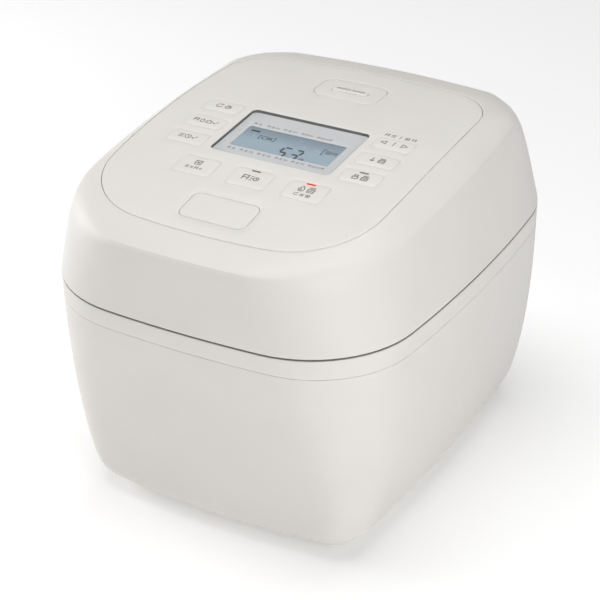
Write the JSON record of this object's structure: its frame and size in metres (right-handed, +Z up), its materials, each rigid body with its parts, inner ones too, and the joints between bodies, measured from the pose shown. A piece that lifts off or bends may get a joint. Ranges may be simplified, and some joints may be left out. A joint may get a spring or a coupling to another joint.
{
  "type": "rice cooker",
  "caption": "Soft-cornered induction rice cooker with a tall hinged lid, domed key panel with display, open button, steam cap and removable pot.",
  "frame": {"origin": "middle of the bounding box at the table under the feet", "axes": "+X to the cooker's right as seen from the front, +Y to the back where the hinge is, +Z up"},
  "size_m": [0.24, 0.3068, 0.2295],
  "materials": {
    "case_plastic": "satin warm white moulded plastic",
    "panel_plastic": "fine satin warm white moulded plastic",
    "inner_plastic": "matt light moulded plastic",
    "dark_plastic": "matt dark moulded plastic",
    "rubber": "matt",
    "seal": "matt silicone",
    "pot_metal": "dark speckled non-stick coating",
    "copper": "varnished copper winding",
    "ferrite": "matt ceramic",
    "steel": "brushed",
    "board": "green laminate",
    "window": "clear glossy cover",
    "silver_trim": "fine silver-grey print",
    "display": "blue-grey display glass",
    "lamp_off": "unlit lamp window",
    "lamp_red": "lit red lamp window"
  },
  "bodies": {
    "root": {"outer_case": "case_plastic", "top_frame": "case_plastic", "base_plate": "inner_plastic", "foot_front_left": "rubber", "foot_front_right": "rubber", "foot_back_left": "rubber", "foot_back_right": "rubber", "pot_well": "dark_plastic", "inner_pot": "pot_metal", "coil_holder": "inner_plastic", "induction_coil": "copper", "ferrite_bar_1": "ferrite", "ferrite_bar_2": "ferrite", "ferrite_bar_3": "ferrite", "ferrite_bar_4": "ferrite", "sensor_spring": "steel", "power_board": "board", "heat_sink": "steel", "fan_frame": "dark_plastic", "inlet_socket": "dark_plastic", "inlet_pin_left": "steel", "inlet_pin_right": "steel", "hinge_bracket": "steel", "hinge_pin": "steel", "latch_catch": "steel"},
    "lid": {"lid_shell": "case_plastic", "top_panel": "panel_plastic", "lid_liner": "inner_plastic", "lid_knuckle": "steel", "heat_plate": "steel", "inner_lid": "steel", "lid_gasket": "seal", "steam_duct": "inner_plastic", "pressure_valve": "steel", "safety_valve": "steel", "lcd_window": "window", "lcd_bezel": "silver_trim", "lcd_module": "display", "control_board": "board"},
    "pot_sensor": {"pot_sensor": "steel"},
    "fan_rotor": {"fan_rotor": "dark_plastic"},
    "open_button": {"open_button": "panel_plastic"},
    "latch_hook": {"latch_hook": "inner_plastic"},
    "steam_cap": {"steam_cap": "case_plastic"},
    "key_rice": {"key_rice": "panel_plastic"},
    "key_style": {"key_style": "panel_plastic"},
    "key_course": {"key_course": "panel_plastic"},
    "key_select": {"key_select": "panel_plastic"},
    "key_small": {"key_small": "panel_plastic"},
    "key_cancel": {"key_cancel": "panel_plastic"},
    "key_keep_warm": {"key_keep_warm": "panel_plastic", "light_keep_warm": "lamp_off"},
    "key_timer": {"key_timer": "panel_plastic", "light_timer": "lamp_off"},
    "key_cook": {"key_cook": "panel_plastic", "light_cook": "lamp_red"}
  },
  "joints": [
    {"name": "lid_hinge", "type": "hinge", "parent": "root", "child": "lid", "pos_m": [0, 0.1492, 0.1565], "axis": [-1, 0, 0], "range_deg": [0, 85]},
    {"name": "open_button_press", "type": "slide", "parent": "lid", "child": "open_button", "axis": [0, 0, -1], "range_m": [0, 0.0025], "stiffness_N_per_m": 900, "springref_m": -0.001},
    {"name": "latch_release", "type": "hinge", "parent": "lid", "child": "latch_hook", "pos_m": [0, -0.1411, 0.17], "axis": [1, 0, 0], "range_deg": [0, 8.1]},
    {"name": "steam_cap_lift", "type": "slide", "parent": "lid", "child": "steam_cap", "axis": [0, 0, 1], "range_m": [0, 0.025]},
    {"name": "fan_spin", "type": "hinge", "parent": "root", "child": "fan_rotor", "pos_m": [0, -0.1091, 0.043], "axis": [0, 1, 0], "continuous": true},
    {"name": "pot_sensor_press", "type": "slide", "parent": "root", "child": "pot_sensor", "axis": [0, 0, -1], "range_m": [0, 0.003], "stiffness_N_per_m": 400, "springref_m": -0.001, "deforming": ["sensor_spring"]},
    {"name": "key_rice_press", "type": "slide", "parent": "lid", "child": "key_rice", "axis": [0, 0, -1], "range_m": [0, 0.0008], "stiffness_N_per_m": 1500, "springref_m": -0.0004},
    {"name": "key_style_press", "type": "slide", "parent": "lid", "child": "key_style", "axis": [0, 0, -1], "range_m": [0, 0.0008], "stiffness_N_per_m": 1500, "springref_m": -0.0004},
    {"name": "key_course_press", "type": "slide", "parent": "lid", "child": "key_course", "axis": [0, 0, -1], "range_m": [0, 0.0008], "stiffness_N_per_m": 1500, "springref_m": -0.0004},
    {"name": "key_small_press", "type": "slide", "parent": "lid", "child": "key_small", "axis": [0, 0, -1], "range_m": [0, 0.0008], "stiffness_N_per_m": 1500, "springref_m": -0.0004},
    {"name": "key_keep_warm_press", "type": "slide", "parent": "lid", "child": "key_keep_warm", "axis": [0, 0, -1], "range_m": [0, 0.0008], "stiffness_N_per_m": 1500, "springref_m": -0.0004},
    {"name": "key_cancel_press", "type": "slide", "parent": "lid", "child": "key_cancel", "axis": [0, 0, -1], "range_m": [0, 0.0008], "stiffness_N_per_m": 1500, "springref_m": -0.0004},
    {"name": "key_timer_press", "type": "slide", "parent": "lid", "child": "key_timer", "axis": [0, 0, -1], "range_m": [0, 0.0008], "stiffness_N_per_m": 1500, "springref_m": -0.0004},
    {"name": "key_cook_press", "type": "slide", "parent": "lid", "child": "key_cook", "axis": [0, 0, -1], "range_m": [0, 0.0008], "stiffness_N_per_m": 1500, "springref_m": -0.0004},
    {"name": "key_select_rock", "type": "hinge", "parent": "lid", "child": "key_select", "pos_m": [0.0596, -0.003, 0.22455], "axis": [0, 1, 0], "range_deg": [-2, 2], "stiffness_Nm_per_rad": 0.05}
  ],
  "couplings": [
    {"joint": "latch_release", "follows": "open_button_press", "rad_per_m": 55.8}
  ]
}
